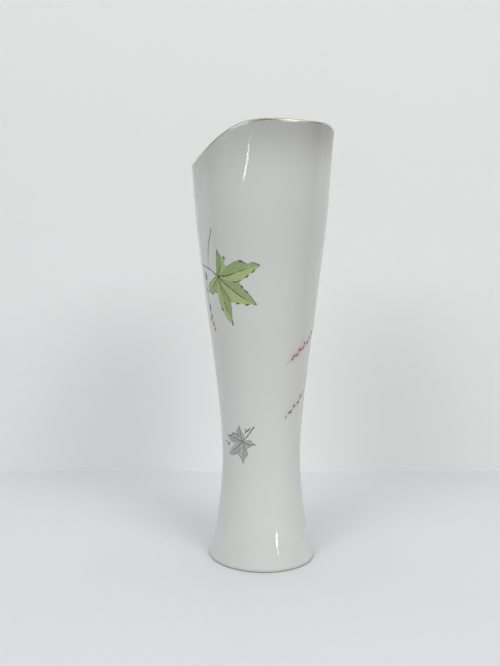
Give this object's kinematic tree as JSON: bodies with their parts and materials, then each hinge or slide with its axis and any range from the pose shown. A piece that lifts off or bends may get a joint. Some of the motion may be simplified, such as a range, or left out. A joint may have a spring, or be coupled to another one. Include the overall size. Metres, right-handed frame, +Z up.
{
  "type": "flower vase",
  "caption": "Tall waisted porcelain vase that flares from a narrow waist to a waved, gilt-edged lip, with fired maple-leaf decoration.",
  "frame": {"origin": "centre of the foot, on the surface the vase stands on", "axes": "+Z up along the vase's axis; +X towards the highest point of the waved lip; the body and lip are mirror-symmetric about the XZ plane, and the leaf decoration is on the -Y side"},
  "size_m": [0.0922, 0.0872, 0.2681],
  "materials": {
    "glazed_porcelain": "very glossy clear glaze over white porcelain, unglazed on the foot ring",
    "gilding": "thin fired gold line, satin, slightly worn",
    "leaf_green": "on-glaze enamel, olive and yellow-green with dark veins",
    "leaf_grey": "on-glaze enamel, pale grey with darker veins",
    "stem_brown": "on-glaze enamel line",
    "twig_grey": "on-glaze enamel line",
    "berry_crimson": "on-glaze enamel, crimson to purple with a pale pink haze"
  },
  "bodies": {
    "root": {"porcelain_body": "glazed_porcelain", "gilt_rim": "gilding", "green_leaf_transfer": "leaf_green", "grey_leaf_transfer": "leaf_grey", "leaf_stem_transfer": "stem_brown", "left_twig_transfer": "twig_grey", "grey_stem_transfer": "twig_grey", "left_sprig_transfer": "berry_crimson", "upper_sprig_transfer": "berry_crimson", "lower_sprig_transfer": "berry_crimson"}
  },
  "joints": []
}
